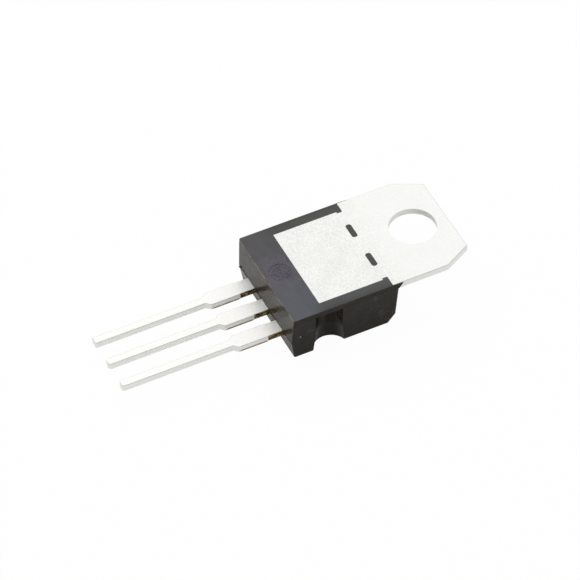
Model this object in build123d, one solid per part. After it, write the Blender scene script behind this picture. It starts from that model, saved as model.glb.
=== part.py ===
"""Three-lead voltage regulator in a single-gauge metal-tab package.

Origin: axis of the tab's hole, on the bare metal back face.
+Y points to the far end of the tab, +Z out of the metal back, and the leads run along -Y.
Sizes are millimetres. Depths are counted down (-Z) from the metal back face, and
distances "below the hole" are counted along -Y from the hole's axis.
"""
from build123d import *
import math
import os

# Leadframe: one thin plated copper strip, from which the tab and all three leads are punched
GAUGE = 0.55
EDGE_ROUND = 0.05

# Tab
TAB_WIDTH = 10.02
TAB_END = 2.88
CORNER_CUT_WIDTH = 1.22
CORNER_CUT_LENGTH = 2.30
HOLE_RADIUS = 1.925

# Narrow pad of the tab, framed by plastic
RIM_WIDTH = 0.885
PAD_START = 4.20
PAD_END = 10.15
RELIEF_DEPTH = 0.16
RELIEF_LENGTH = 0.45
RELIEF_ROUND = 0.07
SLOT_SPREAD = 3.50
SLOT_TO_PAD_START = 0.28
SLOT_LENGTH = 1.50
SLOT_WIDTH = 0.48
SLOT_ROUND = 0.20

# Leads
LEAD_DEPTH = 2.64
LEAD_PITCH = 2.54
ROOT_WIDTH = 1.28
SHANK_WIDTH = 1.38
PIN_WIDTH = 0.70
TRIM_STEP = 1.25
SHOULDER = 3.75
SHOULDER_SLOPE = 0.35
LEAD_LENGTH = 13.51
ROUND_TIP = 0.26
SQUARE_TIP = 0.06
STRAP_RUN = 1.55

# Posts: the inner ends of the two outer leads
POST_WIDTH = 2.40
POST_GAP = 0.55
POST_TO_PAD = 0.72

# Moulded body
SIDE_FILM = 0.03
BODY_END = 12.72
BODY_HEIGHT = 4.40
ROOT_DRAFT = 0.21
SIDE_DRAFT = 0.29
FRONT_DRAFT = 0.24
UNDER_TAB_START = 3.68
UNDER_TAB_DRAFT = 0.22
FRONT_CHAMFER_LENGTH = 0.66
FRONT_CHAMFER_HEIGHT = 0.85
BODY_ROUND = 0.14
BACK_EDGE_ROUND = 0.04
FLASH_REACH = 0.80

# Mould marks
NOTCH_BELOW_HOLE = 9.72
NOTCH_RADIUS = 1.40
NOTCH_TOP_RADIUS = 1.17
NOTCH_OUTSET = 0.04
NOTCH_ROOF = 0.50
MARK_RADIUS = 0.90
MARK_DEPTH = 0.02
BACK_MARK_OFFSET = 0.25
FRONT_MARK_BELOW_HOLE = 6.90
GATE_BELOW_HOLE = 12.17
GATE_DEPTH = 2.11
GATE_LENGTH = 0.36
GATE_HEIGHT = 0.28
GATE_SINK = 0.06

# Die, its solder and the bond wires
DIE_WIDTH = 2.10
DIE_LENGTH = 2.40
DIE_THICKNESS = 0.28
DIE_TO_PAD_END = 0.95
SOLDER_THICKNESS = 0.05
SOLDER_MARGIN = 0.12
POWER_WIRE = 0.25
SIGNAL_WIRE = 0.13
POST_LOOP = 0.56
GROUND_LOOP = 0.60
BOND_INSET = 0.35
SENSE_SPACING = 0.70
GROUND_RUN = 1.40
WIRE_RISE = 0.25
WIRE_FALL = 0.65
FOOT_SHARE = 0.6

# Widths, heights and lengths that follow from the sizes above
PAD_WIDTH = TAB_WIDTH - 2 * RIM_WIDTH
BODY_WIDTH = TAB_WIDTH + 2 * SIDE_FILM
FRONT_WIDTH = BODY_WIDTH - 2 * SIDE_DRAFT
SLOT_BELOW_HOLE = PAD_START + SLOT_TO_PAD_START
DIE_BELOW_HOLE = PAD_END - DIE_TO_PAD_END - DIE_LENGTH / 2
ROOT = BODY_END + ROOT_DRAFT
TIP = ROOT + LEAD_LENGTH
POST_START = PAD_END + POST_TO_PAD
PLATE_FACE = GAUGE
LEAD_FACE = LEAD_DEPTH + GAUGE
SOLDER_FACE = PLATE_FACE + SOLDER_THICKNESS
DIE_FACE = SOLDER_FACE + DIE_THICKNESS
LOOP_DEPTH = LEAD_FACE + POST_LOOP

# How near two places lie when they count as the same
TOUCH = 1e-6


def plate(outline, depth, thickness):
    """A flat piece whose upper face lies at a depth, from an outline in the XY plane."""
    return extrude(Location((0, 0, -depth)) * outline, amount=thickness, dir=(0, 0, -1))


def rectangle(x_low, x_high, below_near, below_far):
    """A rectangle between two X values and two distances below the hole."""
    middle = ((x_low + x_high) / 2, -(below_near + below_far) / 2)
    return Location((*middle, 0)) * Rectangle(x_high - x_low, below_far - below_near)


def round_upper_edges(piece, depth, sides):
    """Round the punched edges of a flat piece's upper face, on the sides that are named."""
    upper = piece.edges().filter_by(lambda edge: abs(edge.center().Z + depth) < TOUCH)
    return fillet(upper.filter_by(sides), EDGE_ROUND)


def tab_outline():
    """The tab with its two cut corners, its hole, the narrow pad and the two locking slots."""
    half = TAB_WIDTH / 2
    corner = half - CORNER_CUT_WIDTH
    cut_start = TAB_END - CORNER_CUT_LENGTH
    head = Polygon(
        (-half, -PAD_START), (half, -PAD_START), (half, cut_start),
        (corner, TAB_END), (-corner, TAB_END), (-half, cut_start), align=None,
    )
    outline = head + rectangle(-PAD_WIDTH / 2, PAD_WIDTH / 2, PAD_START, PAD_END)
    outline -= Circle(HOLE_RADIUS)
    for side in (-1, 1):
        edge = side * PAD_WIDTH / 2
        relief = Location((edge, -PAD_START - RELIEF_LENGTH / 2, 0)) * RectangleRounded(
            2 * RELIEF_DEPTH, RELIEF_LENGTH, RELIEF_ROUND
        )
        slot = Location((side * SLOT_SPREAD / 2, -SLOT_BELOW_HOLE, 0)) * RectangleRounded(
            SLOT_LENGTH, SLOT_WIDTH, SLOT_ROUND
        )
        outline -= relief
        outline -= slot
    return outline


def lead_outline(centre, start, tip_round):
    """A lead's flat shape: root, shank past the trimmed tie bar, sloping shoulder and thin pin."""
    root = ROOT_WIDTH / 2
    shank = SHANK_WIDTH / 2
    pin = PIN_WIDTH / 2
    trim = ROOT + TRIM_STEP
    shoulder = ROOT + SHOULDER
    right = [
        (root, -start), (root, -trim), (shank, -trim), (shank, -shoulder),
        (pin, -shoulder - SHOULDER_SLOPE), (pin, -TIP),
    ]
    left = [(-x, y) for x, y in reversed(right)]
    outline = Polygon(*right, *left, align=None)
    tip = outline.vertices().sort_by(Axis.Y)[:2]
    return Location((centre, 0, 0)) * fillet(tip, tip_round)


def lead_blade(centre, start, tip_round):
    """The flat lead with its long upper edges rounded by the punch."""
    blade = plate(lead_outline(centre, start, tip_round), LEAD_DEPTH, GAUGE)
    return round_upper_edges(blade, LEAD_DEPTH, lambda edge: edge.center().Y < -start - EDGE_ROUND)


def ground_strap(blade_start):
    """The bent strap that steps the middle lead down from the pad to the leads' level."""
    slope = math.atan2(LEAD_DEPTH, blade_start - PAD_END)
    mitre = GAUGE * math.tan(slope / 2)
    profile = Polygon(
        (-PAD_END + mitre, -PLATE_FACE), (-PAD_END, 0), (-blade_start, -LEAD_DEPTH),
        (-blade_start, -LEAD_FACE), (-blade_start + mitre, -LEAD_FACE), align=None,
    )
    return extrude(Plane.YZ * profile, amount=ROOT_WIDTH / 2, both=True)


def heat_sink_tab():
    """Tab, bent strap and middle lead, punched and bent from one piece of strip."""
    head = plate(tab_outline(), 0, GAUGE)
    head = round_upper_edges(
        head, 0,
        lambda edge: edge.center().Y > -PAD_START + EDGE_ROUND and edge.geom_type != GeomType.CIRCLE,
    )
    blade_start = PAD_END + STRAP_RUN
    return head + ground_strap(blade_start) + lead_blade(0, blade_start, ROUND_TIP)


def outer_lead(side, tip_round):
    """An outer lead, whose inner end widens to a post for the bond wire."""
    blade = lead_blade(side * LEAD_PITCH, POST_START + POST_GAP, tip_round)
    inner_edge = POST_GAP + ROOT_WIDTH / 2
    across = sorted((side * inner_edge, side * (inner_edge + POST_WIDTH)))
    post = plate(rectangle(*across, POST_START, ROOT - POST_GAP), LEAD_DEPTH, GAUGE)
    return blade + post


def die_attach_solder():
    """The thin solder layer under the die."""
    size = (DIE_WIDTH + 2 * SOLDER_MARGIN, DIE_LENGTH + 2 * SOLDER_MARGIN)
    return plate(Location((0, -DIE_BELOW_HOLE, 0)) * Rectangle(*size), PLATE_FACE, SOLDER_THICKNESS)


def regulator_die():
    """The silicon chip, soldered to the pad."""
    square = Location((0, -DIE_BELOW_HOLE, 0)) * Rectangle(DIE_WIDTH, DIE_LENGTH)
    return plate(square, SOLDER_FACE, DIE_THICKNESS)


def bond_wire(start, start_face, end, end_face, apex_depth, thickness):
    """An aluminium wire between two places, pressed flat into a foot at each end."""
    radius = thickness / 2
    run = Vector(*end) - Vector(*start)
    span = run.length
    path = FilletPolyline(
        (0, -start_face - radius),
        (WIRE_RISE * span, -apex_depth),
        (WIRE_FALL * span, -apex_depth),
        (span, -end_face - radius),
        radius=2 * thickness,
    )
    path = Plane(origin=(*start, 0), x_dir=run, z_dir=run.cross(Vector(0, 0, 1))) * path
    wire = sweep(Plane(origin=path @ 0, z_dir=path % 0) * Circle(radius), path)
    for (x, y), face in ((start, start_face), (end, end_face)):
        wire += Location((x, y, -face)) * Cylinder(
            thickness, FOOT_SHARE * thickness, align=(Align.CENTER, Align.CENTER, Align.MAX)
        )
    return wire


def bond_wires():
    """Input, output, output-sense and ground wires, each in its own place on the die."""
    post_middle = POST_GAP + ROOT_WIDTH / 2 + POST_WIDTH / 2
    post_line = -POST_START - POST_GAP
    die_edge = -DIE_BELOW_HOLE - DIE_LENGTH / 2 + BOND_INSET
    die_side = DIE_WIDTH / 2 - BOND_INSET
    ground_start = (-die_side, -DIE_BELOW_HOLE + DIE_LENGTH / 2 - BOND_INSET)
    ground_end = (-DIE_WIDTH / 2 - GROUND_RUN, ground_start[1])
    return {
        "input_bond_wire": bond_wire(
            (die_side, die_edge), DIE_FACE, (post_middle, post_line), LEAD_FACE, LOOP_DEPTH, POWER_WIRE
        ),
        "output_bond_wire": bond_wire(
            (-die_side, die_edge), DIE_FACE, (-post_middle, post_line), LEAD_FACE, LOOP_DEPTH, POWER_WIRE
        ),
        "sense_bond_wire": bond_wire(
            (-die_side + SENSE_SPACING, die_edge), DIE_FACE,
            (-post_middle + SENSE_SPACING, post_line), LEAD_FACE, LOOP_DEPTH, SIGNAL_WIRE
        ),
        "ground_bond_wire": bond_wire(
            ground_start, DIE_FACE, ground_end, PLATE_FACE, DIE_FACE + GROUND_LOOP, SIGNAL_WIRE
        ),
    }


def body_block():
    """The outer shape of the moulding: drafted sides, and ends that meet at the leads' level."""
    across = BODY_WIDTH / 2
    front = FRONT_WIDTH / 2
    chamfer_top = BODY_HEIGHT - FRONT_CHAMFER_HEIGHT
    end_line = UNDER_TAB_START + UNDER_TAB_DRAFT
    side_view = Polygon(
        (-BODY_END, 0), (-ROOT, -LEAD_DEPTH), (-ROOT + FRONT_DRAFT, -BODY_HEIGHT),
        (-end_line - FRONT_CHAMFER_LENGTH, -BODY_HEIGHT), (-end_line, -chamfer_top),
        (-UNDER_TAB_START, -PLATE_FACE), (-PAD_START, -PLATE_FACE), (-PAD_START, 0), align=None,
    )
    end_view = Polygon(
        (-across, 0), (-across, -PLATE_FACE), (-front, -BODY_HEIGHT),
        (front, -BODY_HEIGHT), (across, -PLATE_FACE), (across, 0), align=None,
    )
    block = extrude(Plane.YZ * side_view, amount=across, both=True)
    block &= extrude(Plane.XZ * end_view, amount=2 * ROOT, dir=(0, -1, 0))
    return block


def side_notches():
    """The two half-round recesses in the sides, straight to the leads' level and then flared."""
    low = (Align.CENTER, Align.CENTER, Align.MAX)
    notches = []
    for side in (-1, 1):
        across = side * (BODY_WIDTH / 2 + NOTCH_OUTSET)
        straight = Cylinder(NOTCH_TOP_RADIUS, LEAD_DEPTH - NOTCH_ROOF, align=low)
        flare = Cone(NOTCH_RADIUS, NOTCH_TOP_RADIUS, BODY_HEIGHT - LEAD_DEPTH, align=low)
        notches.append(Location((across, -NOTCH_BELOW_HOLE, -NOTCH_ROOF)) * straight)
        notches.append(Location((across, -NOTCH_BELOW_HOLE, -LEAD_DEPTH)) * flare)
    return notches


def gate_recess():
    """The small pocket in the wall on the input side, where the resin was let into the mould."""
    return Location((BODY_WIDTH / 2, -GATE_BELOW_HOLE, -GATE_DEPTH)) * Box(
        2 * (GATE_SINK + SIDE_DRAFT / 2), GATE_LENGTH, GATE_HEIGHT
    )


def mould_marks():
    """Shallow round ejector marks, one on the strip beside the leads and one on the front."""
    strip_middle = (PAD_END + BODY_END) / 2
    low = (Align.CENTER, Align.CENTER, Align.MAX)
    high = (Align.CENTER, Align.CENTER, Align.MIN)
    back = Location((-BACK_MARK_OFFSET, -strip_middle, 0)) * Cylinder(
        MARK_RADIUS, MARK_DEPTH, align=low
    )
    front = Location((0, -FRONT_MARK_BELOW_HOLE, -BODY_HEIGHT)) * Cylinder(
        MARK_RADIUS, MARK_DEPTH, align=high
    )
    return [back, front]


def side_flash():
    """Thin resin that crept along the tab's side edges past the ends of the rims."""
    profile = Polygon(
        (-PAD_START, 0), (-PAD_START + 2 * EDGE_ROUND + FLASH_REACH, -EDGE_ROUND),
        (-UNDER_TAB_START, -PLATE_FACE), (-PAD_START, -PLATE_FACE), align=None,
    )
    pieces = []
    for side in (-1, 1):
        inner = min(side * TAB_WIDTH / 2, side * BODY_WIDTH / 2)
        film = extrude(Plane.YZ * profile, amount=SIDE_FILM, dir=(1, 0, 0))
        pieces.append(Location((inner, 0, 0)) * film)
    return pieces


def rounded_block():
    """The block with every outer edge eased, apart from the parting line and the steps at the tab."""
    block = body_block()

    def on_side_break(edge):
        level = edge.bounding_box()
        return min(level.min.Z, level.max.Z) > -PLATE_FACE - TOUCH and level.max.Z < -TOUCH

    def is_eased(edge):
        middle = edge.center()
        on_parting_line = abs(middle.Z + LEAD_DEPTH) < TOUCH
        on_tab_step = middle.Z > -PLATE_FACE - TOUCH and middle.Y > -PAD_START - TOUCH
        on_back = abs(middle.Z) < TOUCH
        return not (on_parting_line or on_tab_step or on_back or on_side_break(edge))

    block = fillet(block.edges().filter_by(is_eased), BODY_ROUND)
    back = block.edges().filter_by(lambda edge: edge.bounding_box().min.Z > -TOUCH)
    return fillet(back.filter_by(lambda edge: edge.center().Y < -PAD_START - TOUCH), BACK_EDGE_ROUND)


def moulded_body(inner_pieces):
    """The epoxy, moulded round the pad, the leads' roots, the die and its wires."""
    block = rounded_block()
    for cut in side_notches() + mould_marks() + [gate_recess()]:
        block -= cut
    for film in side_flash():
        block += film
    for piece in inner_pieces:
        block -= piece
    return block


def main():
    nodes = {
        "heat_sink_tab": heat_sink_tab(),
        "input_lead": outer_lead(1, ROUND_TIP),
        "output_lead": outer_lead(-1, SQUARE_TIP),
        "die_attach_solder": die_attach_solder(),
        "regulator_die": regulator_die(),
    }
    nodes.update(bond_wires())
    nodes["moulded_body"] = moulded_body(list(nodes.values()))
    os.makedirs("parts", exist_ok=True)
    for name, shape in nodes.items():
        shape.label = name
        export_step(shape, f"parts/{name}.step")


main()
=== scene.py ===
import math

import bmesh
import bpy
from mathutils import Matrix, Vector, noise


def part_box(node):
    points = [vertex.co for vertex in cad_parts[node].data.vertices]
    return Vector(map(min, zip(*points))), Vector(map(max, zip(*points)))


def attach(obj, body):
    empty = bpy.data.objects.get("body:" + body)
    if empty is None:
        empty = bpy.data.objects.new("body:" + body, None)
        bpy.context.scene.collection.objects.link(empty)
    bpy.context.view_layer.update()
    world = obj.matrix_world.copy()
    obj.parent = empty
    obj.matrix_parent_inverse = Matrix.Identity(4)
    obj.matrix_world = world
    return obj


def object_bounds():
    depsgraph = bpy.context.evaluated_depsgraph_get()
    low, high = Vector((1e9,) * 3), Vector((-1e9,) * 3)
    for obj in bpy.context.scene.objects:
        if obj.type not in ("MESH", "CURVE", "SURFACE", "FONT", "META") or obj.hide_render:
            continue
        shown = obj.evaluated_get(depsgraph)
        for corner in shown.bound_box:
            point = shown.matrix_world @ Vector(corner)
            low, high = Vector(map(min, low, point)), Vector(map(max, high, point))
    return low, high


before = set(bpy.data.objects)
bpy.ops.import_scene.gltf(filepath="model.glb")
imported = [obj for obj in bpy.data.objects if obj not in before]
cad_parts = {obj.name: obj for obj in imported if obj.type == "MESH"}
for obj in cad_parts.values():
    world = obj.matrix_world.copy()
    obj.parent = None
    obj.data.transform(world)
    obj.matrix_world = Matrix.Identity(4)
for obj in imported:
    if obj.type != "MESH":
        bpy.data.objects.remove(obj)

# The CAD model's own box, before anything is added to it
cad_low, cad_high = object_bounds()
MM = 0.001


# ---------------------------------------------------------------------------
# Tab with the middle lead
# Copper strip, punched and bent in one piece, then plated with matt tin. The tin is a
# pale, finely mottled skin on the flat faces, and thinner and greyer over punched edges.
# ---------------------------------------------------------------------------
TAB_HALF_WIDTH = 5.01
TAB_END = 2.88
CORNER_CUT_WIDTH = 1.22
CORNER_CUT_LENGTH = 2.30
PAD_START = 4.20
LEAD_PITCH = 2.54
PIN_HALF_WIDTH = 0.35
SHANK_HALF_WIDTH = 0.69
TRIM_STEP = 1.25
SHOULDER = 3.75
SHOULDER_SLOPE = 0.35
TORN_DEPTH = 0.33
GREY_EDGE_WIDTH = 0.09
SHARE_OF_METAL = 0.35
PLATED_PALE = (0.945, 0.95, 0.925, 1)
PLATED_WARM = (1.0, 0.992, 0.97, 1)
PLATED_DULL = (0.72, 0.73, 0.68, 1)
PUNCHED_PALE = (0.96, 0.96, 0.93, 1)
PUNCHED_DULL = (0.85, 0.85, 0.82, 1)
ROLLED_EDGE = (0.60, 0.60, 0.57, 1)
BARE_BRASSY = (0.56, 0.39, 0.13, 1)
BARE_BROWN = (0.045, 0.034, 0.022, 1)
BREAKOUT_GOLD = (0.24, 0.15, 0.05, 1)


class Finish:
    """One surface finish: a material built from nodes that read places in millimetres."""

    def __init__(self, name):
        self.material = bpy.data.materials.new(name)
        self.material.use_nodes = True
        self.tree = self.material.node_tree
        self.shader = self.tree.nodes["Principled BSDF"]
        reader = self.tree.nodes.new("ShaderNodeTexCoord")
        self.place = self.add(
            "VectorMath", {0: reader.outputs["Object"], 3: 1 / MM}, operation="SCALE"
        )
        self.across, self.along, self.height = self.split(self.place)
        self.facing_x, self.facing_y, self.facing_up = self.split(reader.outputs["Normal"])

    def add(self, kind, feeds, output=0, **settings):
        node = self.tree.nodes.new("ShaderNode" + kind)
        for name, value in settings.items():
            setattr(node, name, value)
        for socket, value in feeds.items():
            self.feed(node.inputs[socket], value)
        return node.outputs[output]

    def feed(self, socket, value):
        if isinstance(value, bpy.types.NodeSocket):
            self.tree.links.new(value, socket)
        else:
            socket.default_value = value

    def split(self, vector):
        node = self.tree.nodes.new("ShaderNodeSeparateXYZ")
        self.tree.links.new(vector, node.inputs[0])
        return node.outputs

    def maths(self, operation, first, second=0.0):
        return self.add("Math", {0: first, 1: second}, operation=operation)

    def between(self, value, low, high, to_low=0.0, to_high=1.0):
        """A smooth step from one value to another while the given one runs from low to high."""
        feeds = {"Value": value, "From Min": low, "From Max": high, "To Min": to_low, "To Max": to_high}
        return self.add("MapRange", feeds, interpolation_type="SMOOTHSTEP")

    def cloud(self, per_mm, detail=3.0, harshness=0.55, stretch=(1, 1, 1)):
        """Soft random patches, so many to the millimetre."""
        place = self.add("VectorMath", {0: self.place, 1: stretch}, operation="MULTIPLY")
        feeds = {"Vector": place, "Scale": per_mm, "Detail": detail, "Roughness": harshness}
        return self.add("TexNoise", feeds)

    def cells(self, per_mm):
        """Distance to the nearest of many scattered points."""
        return self.add("TexVoronoi", {"Vector": self.place, "Scale": per_mm})

    def blend(self, share, first, second):
        return self.add("Mix", {0: share, 6: first, 7: second}, output=2, data_type="RGBA")

    def emboss(self, height, depth_mm):
        feeds = {"Height": height, "Distance": depth_mm * MM}
        self.feed(self.shader.inputs["Normal"], self.add("Bump", feeds))


def from_lead_edge(tin):
    """How far a place on a lead lies from the lead's long edges."""
    across = tin.maths("PINGPONG", tin.across, LEAD_PITCH / 2)
    feeds = {
        "Value": tin.along,
        "From Min": root_line / MM - SHOULDER - SHOULDER_SLOPE,
        "From Max": root_line / MM - SHOULDER,
        "To Min": PIN_HALF_WIDTH,
        "To Max": SHANK_HALF_WIDTH,
    }
    return tin.maths("SUBTRACT", tin.add("MapRange", feeds), across)


def from_tab_edge(tin):
    """How far a place on the tab lies from its sides, its end and its cut corners."""
    from_side = tin.maths("SUBTRACT", TAB_HALF_WIDTH, tin.maths("ABSOLUTE", tin.across))
    from_end = tin.maths("SUBTRACT", TAB_END, tin.along)
    from_cut_start = tin.maths("SUBTRACT", TAB_END - CORNER_CUT_LENGTH, tin.along)
    cut = math.hypot(CORNER_CUT_WIDTH, CORNER_CUT_LENGTH)
    from_cut = tin.maths(
        "ADD",
        tin.maths("MULTIPLY", from_side, CORNER_CUT_LENGTH / cut),
        tin.maths("MULTIPLY", from_cut_start, CORNER_CUT_WIDTH / cut),
    )
    return tin.maths("MINIMUM", tin.maths("MINIMUM", from_side, from_end), from_cut)


def plated_face(tin, mottle, on_lead):
    """Tin on the flat faces: patchy and dull where it was handled, and greyer along the edges."""
    patches = tin.between(tin.cloud(0.55, 2), 0.35, 0.68)
    on_tab = tin.between(tin.along, -PAD_START - 1.5, -PAD_START + 3.0)
    handled = tin.maths("SUBTRACT", 1.0, tin.maths("MULTIPLY", on_lead, 0.84))
    handled = tin.maths("MULTIPLY", handled, tin.between(on_tab, 0, 1, 1, 0.30))
    dullness = tin.maths(
        "ADD", tin.maths("MULTIPLY", patches, 0.20), tin.maths("MULTIPLY", mottle, 0.46)
    )
    dullness = tin.maths("MULTIPLY", dullness, handled)
    tab_edge = tin.maths("MINIMUM", from_tab_edge(tin), 1.0)
    tab_edge = tin.between(tab_edge, 0.0, GREY_EDGE_WIDTH, 1, 0)
    lead_edge = tin.between(from_lead_edge(tin), 0.0, GREY_EDGE_WIDTH, 1, 0)
    edge = tin.add("Mix", {0: on_lead, 2: tab_edge, 3: lead_edge})
    grey_edge = tin.maths("MULTIPLY", edge, tin.between(mottle, 0, 1, 0.45, 1.0))
    pale = tin.blend(on_lead, PLATED_PALE, PLATED_WARM)
    return tin.blend(grey_edge, tin.blend(dullness, pale, PLATED_DULL), ROLLED_EDGE)


def punched_side(tin):
    """The punched sides: streaked tin, and a torn band of golden copper low on the shanks."""
    streaks = tin.cloud(4, 3, 0.6, (0.3, 0.3, 2.5))
    punched = tin.blend(streaks, PUNCHED_DULL, PUNCHED_PALE)
    shank_end = root_line / MM - SHOULDER
    step = root_line / MM - TRIM_STEP
    on_shank = tin.maths(
        "MULTIPLY",
        tin.between(tin.along, shank_end, shank_end + 0.2),
        tin.between(tin.along, step - 0.2, step, 1, 0),
    )
    level = tin.maths("ADD", tin.height, tin.maths("MULTIPLY", tin.cloud(2.2, 2), 0.12))
    torn_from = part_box("input_lead")[1].z / MM - TORN_DEPTH
    torn = tin.between(level, torn_from - 0.08, torn_from + 0.02, 1, 0)
    return tin.blend(tin.maths("MULTIPLY", on_shank, torn), punched, BREAKOUT_GOLD)


def tin_plate():
    tin = Finish("matt_tin_plate")
    flatness = tin.maths("ABSOLUTE", tin.facing_up)
    side = tin.between(flatness, 0.05, 0.30, 1, 0)
    face = tin.between(flatness, 0.90, 0.995)
    mottle = tin.between(tin.cloud(5.0, 5, 0.66), 0.40, 0.60)
    grain = tin.cloud(19, 3, 0.6)
    on_lead = tin.between(tin.along, root_line / MM - TRIM_STEP, root_line / MM, 1, 0)
    rounded = tin.blend(face, ROLLED_EDGE, plated_face(tin, mottle, on_lead))
    tin.feed(tin.shader.inputs["Base Color"], tin.blend(side, rounded, punched_side(tin)))
    tin.shader.inputs["Metallic"].default_value = SHARE_OF_METAL
    tin.feed(tin.shader.inputs["Roughness"], tin.between(grain, 0.3, 0.7, 0.36, 0.50))
    relief = tin.maths("ADD", tin.maths("MULTIPLY", mottle, 0.5), tin.maths("MULTIPLY", grain, 0.5))
    tin.emboss(relief, 0.006)
    return tin.material


def bare_copper():
    """Copper laid bare and browned by heat where the tie bar and the resin were trimmed away."""
    copper = Finish("trimmed_bare_copper")
    stain = copper.between(copper.cloud(5.5, 4, 0.65, (1, 0.55, 1.8)), 0.46, 0.66)
    copper.feed(copper.shader.inputs["Base Color"], copper.blend(stain, BARE_BROWN, BARE_BRASSY))
    copper.shader.inputs["Metallic"].default_value = 0.9
    tears = copper.cloud(9, 3, 0.6, (1, 0.35, 1))
    copper.feed(copper.shader.inputs["Roughness"], copper.between(tears, 0.3, 0.7, 0.38, 0.60))
    copper.emboss(tears, 0.012)
    return copper.material


def finish_strip(node, plating):
    """Plates a punched piece, and bares the sides of its root up to the trimmed tie bar."""
    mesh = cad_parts[node].data
    mesh.materials.clear()
    mesh.materials.append(plating)
    mesh.materials.append(BARE_COPPER)
    leads_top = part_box("input_lead")[1].z
    for face in mesh.polygons:
        reach = min(mesh.vertices[corner].co.y for corner in face.vertices)
        near_root = root_line - (TRIM_STEP + 0.01) * MM < reach < root_line
        below_pad = face.center.z < leads_top + 0.01 * MM
        if abs(face.normal.x) > 0.9 and near_root and below_pad:
            face.material_index = 1


root_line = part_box("moulded_body")[0].y
TIN_PLATE = tin_plate()
BARE_COPPER = bare_copper()
finish_strip("heat_sink_tab", TIN_PLATE)


# ---------------------------------------------------------------------------
# Outer leads
# Cut from the same strip as the tab and plated with it. Their inner ends are held in
# the moulding, apart from the tab, and carry the bond wires.
# ---------------------------------------------------------------------------
for node in ("input_lead", "output_lead"):
    finish_strip(node, TIN_PLATE)


# ---------------------------------------------------------------------------
# Die and its solder
# A sawn silicon chip on a thin layer of grey solder, buried in the moulding.
# ---------------------------------------------------------------------------
SOLDER_BRIGHT = (0.52, 0.52, 0.53, 1)
SOLDER_GREY = (0.33, 0.33, 0.35, 1)
SILICON_BLUE = (0.10, 0.11, 0.15, 1)
SILICON_GREY = (0.24, 0.24, 0.26, 1)


def dress(node, material):
    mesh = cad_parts[node].data
    mesh.materials.clear()
    mesh.materials.append(material)


def cast_metal(name, dark, light, metallic, roughness, depth_mm):
    """A metal skin with small clouds of tone, dulled and pitted a little."""
    skin = Finish(name)
    tone = skin.between(skin.cloud(4, 3), 0.35, 0.65)
    skin.feed(skin.shader.inputs["Base Color"], skin.blend(tone, dark, light))
    skin.shader.inputs["Metallic"].default_value = metallic
    grain = skin.cloud(16, 3)
    skin.feed(
        skin.shader.inputs["Roughness"],
        skin.between(grain, 0.3, 0.7, roughness - 0.07, roughness + 0.07),
    )
    skin.emboss(grain, depth_mm)
    return skin.material


dress("die_attach_solder", cast_metal("soft_solder", SOLDER_GREY, SOLDER_BRIGHT, 1.0, 0.42, 0.008))
dress("regulator_die", cast_metal("sawn_silicon", SILICON_BLUE, SILICON_GREY, 0.6, 0.24, 0.002))


# ---------------------------------------------------------------------------
# Bond wires
# Soft aluminium wire, pressed flat on the die and on the posts, buried in the moulding.
# ---------------------------------------------------------------------------
ALUMINIUM_DULL = (0.66, 0.67, 0.68, 1)
ALUMINIUM_BRIGHT = (0.80, 0.80, 0.81, 1)

WIRE_METAL = cast_metal("drawn_aluminium", ALUMINIUM_DULL, ALUMINIUM_BRIGHT, 1.0, 0.30, 0.003)
for node in ("input_bond_wire", "output_bond_wire", "sense_bond_wire", "ground_bond_wire"):
    dress(node, WIRE_METAL)


# ---------------------------------------------------------------------------
# Moulded body
# Black glass-filled epoxy, moulded round the pad and the leads. Its walls keep the
# polish of the mould, and the back has been blasted clean of resin to a matt slate grey.
# ---------------------------------------------------------------------------
RIM_WIDTH = 0.885
PAD_END = 10.15
NOTCH_CENTRE = -9.72
NOTCH_HALF_WIDTH = 1.40
MARK_CENTRE = (-0.25, -11.435, 0)
MARK_RADIUS = 0.90
RIM_DARK_WIDTH = 0.50
# Depth of the painted highlight along the end wall's top edge
END_HIGHLIGHT_DEPTH = 0.20
RIM_SHADE = 0.80
# Less mirror inside the notches, as painted shade
NOTCH_SHADE_GLOSS = 0.34
PLAIN_GLOSS = 0.5
BLASTED_LIGHT = (0.122, 0.115, 0.134, 1)
BLASTED_DARK = (0.079, 0.074, 0.088, 1)
BLASTED_BLUE = (0.098, 0.104, 0.121, 1)
BLASTED_GREY = (0.080, 0.079, 0.080, 1)
RIM_GREY = (0.098, 0.100, 0.092, 1)
RIM_OUTER_DARK = (0.052, 0.054, 0.047, 1)
# Painted shade in the recessed slots beside the pad
SLOT_PAINTED_SHADE = (0.066, 0.067, 0.060, 1)
MARK_STAIN = (0.050, 0.045, 0.064, 1)
WALL_LIGHT = (0.009, 0.0072, 0.004, 1)
WALL_DARK = (0.003, 0.0024, 0.0013, 1)
WALL_SCUFF = (0.040, 0.034, 0.030, 1)
# A warm tint painted into the walls' reflections
WALL_PAINTED_REFLECTION_TINT = (1.0, 0.95, 0.84, 1)
# A warm painted reflection on the end wall
END_PAINTED_REFLECTION = (0.040, 0.032, 0.022, 1)
# A painted highlight along the end wall's top edge
END_TOP_HIGHLIGHT = (0.22, 0.20, 0.165, 1)
# A painted highlight on the rounded edges round the back
FILLET_HIGHLIGHT = (0.13, 0.125, 0.115, 1)
FILLER_FLECK = (0.30, 0.29, 0.28, 1)


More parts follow.
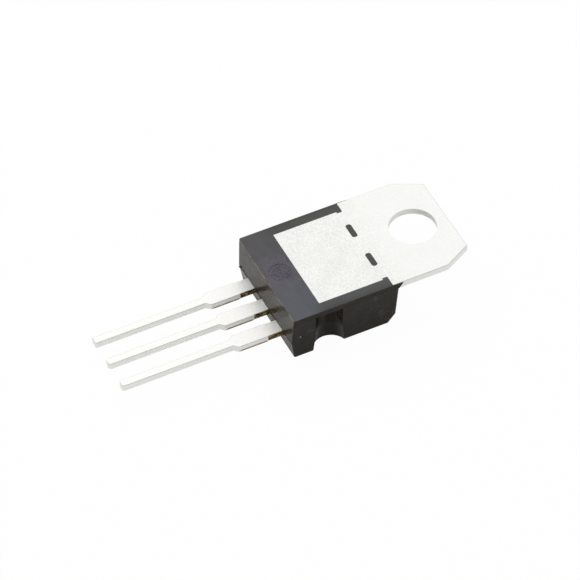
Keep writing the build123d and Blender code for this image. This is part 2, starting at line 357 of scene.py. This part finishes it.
def blasted_back(epoxy, patches, mottle):
    """The back: bluer at one end and greyer at the other, darker along the rim's outside."""
    half_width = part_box("moulded_body")[1].x / MM
    half_pad = half_width - RIM_WIDTH
    from_middle = epoxy.maths("ABSOLUTE", epoxy.across)
    on_rim = epoxy.maths(
        "MULTIPLY",
        epoxy.between(from_middle, half_pad - 0.2, half_pad + 0.2),
        epoxy.between(epoxy.along, -PAD_END - 1.0, -PAD_END + 0.5),
    )
    in_slot = epoxy.maths(
        "MULTIPLY",
        epoxy.between(from_middle, half_pad - 0.4, half_pad - 0.3, 1, 0),
        epoxy.between(epoxy.along, -PAD_END + 0.5, -PAD_END + 1.0),
    )
    tone = epoxy.maths(
        "ADD", epoxy.maths("MULTIPLY", mottle, 0.6), epoxy.maths("MULTIPLY", patches, 0.4)
    )
    colour = epoxy.blend(tone, BLASTED_DARK, BLASTED_LIGHT)
    drift = epoxy.maths("MULTIPLY", epoxy.cloud(0.5, 2), 6.0)
    drift = epoxy.maths("ADD", epoxy.across, epoxy.maths("SUBTRACT", drift, 3.0))
    colour = epoxy.blend(epoxy.between(drift, 0.0, 2.5, 0, 0.75), colour, BLASTED_BLUE)
    colour = epoxy.blend(epoxy.between(drift, -3.5, -1.0, 0.75, 0), colour, BLASTED_GREY)
    colour = epoxy.blend(epoxy.maths("MULTIPLY", on_rim, 0.6), colour, RIM_GREY)
    colour = epoxy.blend(epoxy.maths("MULTIPLY", on_rim, 1 - RIM_SHADE), colour, (0, 0, 0, 1))
    # Painted shade in the recessed slots
    colour = epoxy.blend(epoxy.maths("MULTIPLY", in_slot, 0.9), colour, SLOT_PAINTED_SHADE)
    from_mark = epoxy.add(
        "VectorMath", {0: epoxy.place, 1: MARK_CENTRE}, output="Value", operation="DISTANCE"
    )
    speckle = epoxy.between(epoxy.cloud(5.5, 4, 0.7), 0.46, 0.60)
    in_mark = epoxy.between(from_mark, MARK_RADIUS * 0.9, MARK_RADIUS * 1.15, 0.75, 0)
    colour = epoxy.blend(epoxy.maths("MULTIPLY", in_mark, speckle), colour, MARK_STAIN)
    edge_band = epoxy.between(from_middle, half_width - RIM_DARK_WIDTH, half_width - 0.05, 0, 0.8)
    edge_band = epoxy.maths("MULTIPLY", edge_band, epoxy.between(mottle, 0, 1, 0.45, 1.0))
    return epoxy.blend(epoxy.maths("MULTIPLY", edge_band, on_rim), colour, RIM_OUTER_DARK)


def polished_walls(epoxy, patches, mottle):
    """The walls: nearly black and scuffed; on the end, a painted warm reflection and a painted top-edge
    highlight.
    """
    colour = epoxy.blend(patches, WALL_DARK, WALL_LIGHT)
    scuffs = epoxy.between(epoxy.cloud(1.5, 5, 0.72, (1, 0.6, 1)), 0.56, 0.68, 0, 0.7)
    colour = epoxy.blend(scuffs, colour, WALL_SCUFF)
    on_end = epoxy.between(epoxy.facing_y, -0.95, -0.6, 1, 0)
    # A warm painted reflection on the end wall, in mottled patches
    end_reflection = epoxy.maths("MULTIPLY", on_end, epoxy.between(mottle, 0, 1, 0.50, 0.85))
    colour = epoxy.blend(end_reflection, colour, END_PAINTED_REFLECTION)
    # A painted highlight along the end wall's top edge, in patches
    edge_band = epoxy.between(epoxy.height, -END_HIGHLIGHT_DEPTH, -END_HIGHLIGHT_DEPTH / 4)
    edge_band = epoxy.maths("MULTIPLY", edge_band, epoxy.between(epoxy.cloud(1.4, 4, 0.6), 0.40, 0.58))
    return epoxy.blend(epoxy.maths("MULTIPLY", on_end, edge_band), colour, END_TOP_HIGHLIGHT)


def wall_gloss(epoxy):
    """How much the resin mirrors: less inside the notches, as painted shade there."""
    from_notch = epoxy.maths("ABSOLUTE", epoxy.maths("SUBTRACT", epoxy.along, NOTCH_CENTRE))
    in_notch = epoxy.between(from_notch, NOTCH_HALF_WIDTH, NOTCH_HALF_WIDTH + 0.1, 1, 0)
    inset = epoxy.between(epoxy.maths("ABSOLUTE", epoxy.facing_x), 0.990, 0.999, 1, 0)
    notch_shade = epoxy.maths("MULTIPLY", in_notch, inset)
    return epoxy.between(notch_shade, 0, 1, PLAIN_GLOSS, NOTCH_SHADE_GLOSS)


def moulded_epoxy():
    epoxy = Finish("black_moulded_epoxy")
    back = epoxy.between(epoxy.facing_up, 0.80, 0.98)
    edge = epoxy.maths(
        "MULTIPLY",
        epoxy.between(epoxy.facing_up, 0.15, 0.45),
        epoxy.between(epoxy.facing_up, 0.80, 0.98, 1, 0),
    )
    patches = epoxy.between(epoxy.cloud(1.1, 3), 0.36, 0.66)
    mottle = epoxy.between(epoxy.cloud(7, 4, 0.62), 0.36, 0.64)
    blasted = blasted_back(epoxy, patches, mottle)
    colour = epoxy.blend(back, polished_walls(epoxy, patches, mottle), blasted)
    # A painted highlight on the rounded edges between the back and the walls
    fillet_highlight = epoxy.maths("MULTIPLY", edge, epoxy.between(mottle, 0, 1, 0.15, 0.75))
    colour = epoxy.blend(fillet_highlight, colour, FILLET_HIGHLIGHT)
    flecks = epoxy.between(epoxy.cells(5.5), 0.05, 0.09, 0.55, 0)
    flecks = epoxy.maths("MULTIPLY", flecks, epoxy.between(back, 0, 1, 0.15, 0.6))
    colour = epoxy.blend(flecks, colour, FILLER_FLECK)
    epoxy.feed(epoxy.shader.inputs["Base Color"], colour)
    polish = epoxy.between(patches, 0, 1, 0.20, 0.30)
    matt = epoxy.between(mottle, 0, 1, 0.58, 0.70)
    roughness = epoxy.add("Mix", {0: back, 2: polish, 3: matt})
    epoxy.feed(epoxy.shader.inputs["Roughness"], roughness)
    epoxy.shader.inputs["IOR"].default_value = 1.33
    # A warm tint painted into the walls' reflections
    epoxy.shader.inputs["Specular Tint"].default_value = WALL_PAINTED_REFLECTION_TINT
    epoxy.feed(epoxy.shader.inputs["Specular IOR Level"], wall_gloss(epoxy))
    grit = epoxy.cloud(24, 3, 0.6)
    epoxy.emboss(epoxy.maths("MULTIPLY", grit, epoxy.between(back, 0, 1, 0.12, 1.0)), 0.010)
    return epoxy.material


dress("moulded_body", moulded_epoxy())


# ---------------------------------------------------------------------------
# Gate scar
# The broken stub of hardened resin where the mould was filled. It is left in its shallow
# pocket in the side wall, torn off rough, and shows paler than the polished walls.
# ---------------------------------------------------------------------------
GATE_PLACE = (4.835, -12.17, -2.11)
GATE_LENGTH = 0.27
GATE_HEIGHT = 0.25
GATE_STAND = 0.085
GATE_SEAT = 0.004
GATE_COLUMNS = 22
GATE_ROWS = 16
RISE_AT_RIM = 0.25
RISE_INWARDS = 5
TORN_RESIN_DARK = (0.045, 0.042, 0.036, 1)
TORN_RESIN_PALE = (0.22, 0.20, 0.17, 1)


def broken_resin(name, dark, pale):
    """Resin broken across its filler: matt and rough, with chips of a paler tone."""
    resin = Finish(name)
    chips = resin.between(resin.cloud(9, 4, 0.7), 0.42, 0.58)
    resin.feed(resin.shader.inputs["Base Color"], resin.blend(chips, dark, pale))
    resin.feed(resin.shader.inputs["Roughness"], resin.between(chips, 0, 1, 0.5, 0.75))
    resin.emboss(resin.cloud(30, 3), 0.008)
    return resin.material


def closed_sheet(name, columns, rows, front, back, material):
    """A closed piece between two surfaces over one grid, each given by a function in mm."""
    form = bmesh.new()
    sides = []
    for surface in (front, back):
        grid = [
            [form.verts.new(Vector(surface(u / columns, v / rows)) * MM) for v in range(rows + 1)]
            for u in range(columns + 1)
        ]
        sides.append(grid)
        for u in range(columns):
            for v in range(rows):
                form.faces.new((grid[u][v], grid[u + 1][v], grid[u + 1][v + 1], grid[u][v + 1]))
    rim = [(u, 0) for u in range(columns)] + [(columns, v) for v in range(rows)]
    rim += [(u, rows) for u in range(columns, 0, -1)] + [(0, v) for v in range(rows, 0, -1)]
    for (u, v), (next_u, next_v) in zip(rim, rim[1:] + rim[:1]):
        near, far = sides
        form.faces.new((near[u][v], near[next_u][next_v], far[next_u][next_v], far[u][v]))
    bmesh.ops.recalc_face_normals(form, faces=form.faces)
    mesh = bpy.data.meshes.new(name)
    form.to_mesh(mesh)
    form.free()
    mesh.materials.append(material)
    piece = bpy.data.objects.new(name, mesh)
    bpy.context.scene.collection.objects.link(piece)
    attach(piece, "root")


def gate_front(u, v):
    from_rim = min(u, 1 - u, v, 1 - v)
    rise = min(1.0, RISE_AT_RIM + from_rim * RISE_INWARDS)
    torn = 0.72 + 0.55 * noise.noise(Vector((u * 5.0, v * 3.6, 1.7)))
    x = GATE_PLACE[0] + GATE_STAND * rise * torn
    return x, GATE_PLACE[1] + (u - 0.5) * GATE_LENGTH, GATE_PLACE[2] + (v - 0.5) * GATE_HEIGHT


def gate_back(u, v):
    x, y, z = gate_front(u, v)
    return GATE_PLACE[0] - GATE_SEAT, y, z


torn_resin = broken_resin("torn_resin", TORN_RESIN_DARK, TORN_RESIN_PALE)
closed_sheet(
    "gate_scar", GATE_COLUMNS, GATE_ROWS, gate_front, gate_back, torn_resin
)


# ---------------------------------------------------------------------------
# Resin flash at the parting line
# A paper-thin, ragged fin of resin that crept between the two halves of the mould, at the
# level of the leads. What is left of it stands between the leads and beside them.
# ---------------------------------------------------------------------------
ROOT_HALF_WIDTH = 0.64
CORNER_CLEARANCE = 0.42
FLASH_THICKNESS = 0.016
FLASH_ROOT = 0.02
FLASH_REACH = 0.10
FLASH_AT_LEAD = 0.16
FLASH_FADE = 0.22
LEAST_SHARE = 0.12
COARSE_RAGS_PER_MM = 3.1
FINE_RAGS_PER_MM = 13.0
FLASH_STEPS_PER_MM = 22
FEWEST_STEPS = 8
FLASH_ROWS = 3
FLASH_DARK = (0.004, 0.0033, 0.0025, 1)
FLASH_BROWN = (0.045, 0.034, 0.021, 1)


def flash_between(name, low_x, high_x):
    """A ragged fin along the parting line, widest where it starts beside a lead."""
    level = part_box("input_lead")[1].z / MM
    steps = max(FEWEST_STEPS, round((high_x - low_x) * FLASH_STEPS_PER_MM))

    def surface(height):
        def place(u, v):
            x = low_x + (high_x - low_x) * u
            ragged = 0.5 + 0.5 * noise.noise(Vector((x * COARSE_RAGS_PER_MM, 0.4, 2.0)))
            ragged *= 0.75 + 0.5 * noise.noise(Vector((x * FINE_RAGS_PER_MM, 5.0, 0.3)))
            reach = FLASH_REACH + FLASH_AT_LEAD * math.exp((low_x - x) / FLASH_FADE)
            out = -FLASH_ROOT + (FLASH_ROOT + reach * max(LEAST_SHARE, ragged)) * v
            return x, root_line / MM - out, level + height
        return place

    top, bottom = surface(FLASH_THICKNESS / 2), surface(-FLASH_THICKNESS / 2)
    closed_sheet(name, steps, FLASH_ROWS, top, bottom, resin_flash)


resin_flash = broken_resin("resin_flash", FLASH_DARK, FLASH_BROWN)
flash_end = -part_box("moulded_body")[0].x / MM - CORNER_CLEARANCE
gaps = [
    (-flash_end, -LEAD_PITCH - ROOT_HALF_WIDTH),
    (-LEAD_PITCH + ROOT_HALF_WIDTH, -ROOT_HALF_WIDTH),
    (ROOT_HALF_WIDTH, LEAD_PITCH - ROOT_HALF_WIDTH),
    (LEAD_PITCH + ROOT_HALF_WIDTH, flash_end),
]
for number, (low_x, high_x) in enumerate(gaps, 1):
    flash_between(f"parting_flash_{number}", low_x, high_x)


# ---------------------------------------------------------------------------
# Trimming burrs
# Slivers of copper that the trimming punch dragged down the leads' sides, at the steps
# where the tie bar joined them.
# ---------------------------------------------------------------------------
BURR_LENGTH = 0.16
BURR_REACH = 0.05
BURR_SEAT = 0.01
BURR_BELOW_TOP = 0.05
BURR_ABOVE_BOTTOM = 0.02
BURR_COLUMNS = 10
BURR_ROWS = 5
BURR_WAVES_PER_MM = 7.0


def trimming_burr(name, centre_x, side, seed):
    """A sliver on one side of a lead, thickest at the step and fading towards the root."""
    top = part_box("input_lead")[1].z / MM - BURR_BELOW_TOP
    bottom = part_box("input_lead")[0].z / MM + BURR_ABOVE_BOTTOM
    step_y = root_line / MM - TRIM_STEP
    wall = centre_x + side * ROOT_HALF_WIDTH

    def outside(u, v):
        z = top + (bottom - top) * u
        drag = 0.55 + 0.45 * noise.noise(Vector((z * BURR_WAVES_PER_MM, seed, 3.0)))
        y = step_y + BURR_LENGTH * (0.4 + 0.6 * drag) * v
        return wall + side * BURR_REACH * drag * (1 - v) ** 1.5, y, z

    def inside(u, v):
        x, y, z = outside(u, v)
        return wall - side * BURR_SEAT, y, z

    closed_sheet(
        name, BURR_COLUMNS, BURR_ROWS, outside, inside, BARE_COPPER
    )


for number, centre_x in enumerate((-LEAD_PITCH, 0, LEAD_PITCH), 1):
    trimming_burr(f"trim_burr_{number}_near", centre_x, 1, number)
    trimming_burr(f"trim_burr_{number}_far", centre_x, -1, number + 5)


# ---------------------------------------------------------------------------
# Table, light and camera
# A white table in a white tent: one wide softbox overhead and plain soft light all round.
# ---------------------------------------------------------------------------
TABLE_HALF = 0.9
TABLE_WHITE = 0.90
TABLE_GLOW = 0.97
TABLE_GLOW_IN_GLOSS = 0.28
TENT_LIGHT = 0.64
SOFTBOX_SIDE = 0.70
SOFTBOX_HEIGHT = 0.50
SOFTBOX_SHIFT = (-0.36, 0.02)
SOFTBOX_RADIANCE = 1.50


def seen_glow(nodes, links, plain, in_gloss):
    """The glow of a thing seen plainly, through glass or in a gloss; it lights nothing itself."""
    path = nodes.new("ShaderNodeLightPath")
    total = None
    kinds = (("Is Camera Ray", plain), ("Is Transmission Ray", plain), ("Is Glossy Ray", in_gloss))
    for ray, glow in kinds:
        scaled = nodes.new("ShaderNodeMath")
        scaled.operation = "MULTIPLY"
        scaled.inputs[1].default_value = glow
        links.new(path.outputs[ray], scaled.inputs[0])
        if total is None:
            total = scaled.outputs[0]
            continue
        brighter = nodes.new("ShaderNodeMath")
        brighter.operation = "MAXIMUM"
        links.new(total, brighter.inputs[0])
        links.new(scaled.outputs[0], brighter.inputs[1])
        total = brighter.outputs[0]
    return total


def white_table():
    mesh = bpy.data.meshes.new("table")
    turns = ((-1, -1), (1, -1), (1, 1), (-1, 1))
    corners = [(x * TABLE_HALF, y * TABLE_HALF, cad_low.z) for x, y in turns]
    mesh.from_pydata(corners, [], [(0, 1, 2, 3)])
    table = bpy.data.objects.new("table", mesh)
    bpy.context.scene.collection.objects.link(table)
    material = bpy.data.materials.new("white_paper")
    material.use_nodes = True
    nodes, links = material.node_tree.nodes, material.node_tree.links
    nodes.clear()
    paper = nodes.new("ShaderNodeBsdfDiffuse")
    paper.inputs["Color"].default_value = (TABLE_WHITE, TABLE_WHITE, TABLE_WHITE, 1)
    glow = nodes.new("ShaderNodeEmission")
    mix = nodes.new("ShaderNodeMixShader")
    links.new(seen_glow(nodes, links, TABLE_GLOW, TABLE_GLOW_IN_GLOSS), mix.inputs[0])
    links.new(paper.outputs[0], mix.inputs[1])
    links.new(glow.outputs[0], mix.inputs[2])
    output = nodes.new("ShaderNodeOutputMaterial")
    links.new(mix.outputs[0], output.inputs["Surface"])
    mesh.materials.append(material)


def white_tent():
    world = bpy.data.worlds.new("tent")
    world.use_nodes = True
    bpy.context.scene.world = world
    nodes, links = world.node_tree.nodes, world.node_tree.links
    background = nodes["Background"]
    background.inputs["Color"].default_value = (1, 1, 1, 1)
    strength = nodes.new("ShaderNodeMapRange")
    strength.inputs["To Min"].default_value = TENT_LIGHT
    strength.inputs["To Max"].default_value = 1.0
    links.new(seen_glow(nodes, links, 1.0, 1.0), strength.inputs["Value"])
    links.new(strength.outputs[0], background.inputs["Strength"])


def softbox():
    light = bpy.data.lights.new("softbox", "AREA")
    light.shape = "SQUARE"
    light.size = SOFTBOX_SIDE
    light.energy = SOFTBOX_RADIANCE * math.pi * SOFTBOX_SIDE**2
    lamp = bpy.data.objects.new("softbox", light)
    lamp.location = (*SOFTBOX_SHIFT, SOFTBOX_HEIGHT)
    lamp.rotation_euler = Vector(lamp.location).to_track_quat("Z", "Y").to_euler()
    lamp.visible_camera = False
    lamp.visible_glossy = False
    bpy.context.scene.collection.objects.link(lamp)


white_table()
white_tent()
softbox()

# A long lens, looking down on the metal back from beside the leads
SENSOR = 36.0
LENS = 273.6
AZIMUTH = math.radians(66.1)
ELEVATION = math.radians(46.51)
ROLL = math.radians(-2.36)
STAND_OFF = 344.46
AIM_SHIFT = (0.09, 1.00, 0.20)


def long_lens_camera():
    data = bpy.data.cameras.new("camera")
    data.sensor_width = SENSOR
    data.lens = LENS
    data.clip_start = 0.02
    data.clip_end = 10.0
    camera = bpy.data.objects.new("camera", data)
    bpy.context.scene.collection.objects.link(camera)
    aim = (cad_low + cad_high) / 2 + Vector(AIM_SHIFT) * MM
    turn = Matrix.Rotation(AZIMUTH, 4, "Z") @ Matrix.Rotation(math.pi / 2 - ELEVATION, 4, "X")
    turn = turn @ Matrix.Rotation(ROLL, 4, "Z")
    camera.matrix_world = Matrix.Translation(aim) @ turn @ Matrix.Translation((0, 0, STAND_OFF * MM))
    bpy.context.scene.camera = camera


long_lens_camera()
bpy.context.scene.view_settings.view_transform = "Standard"
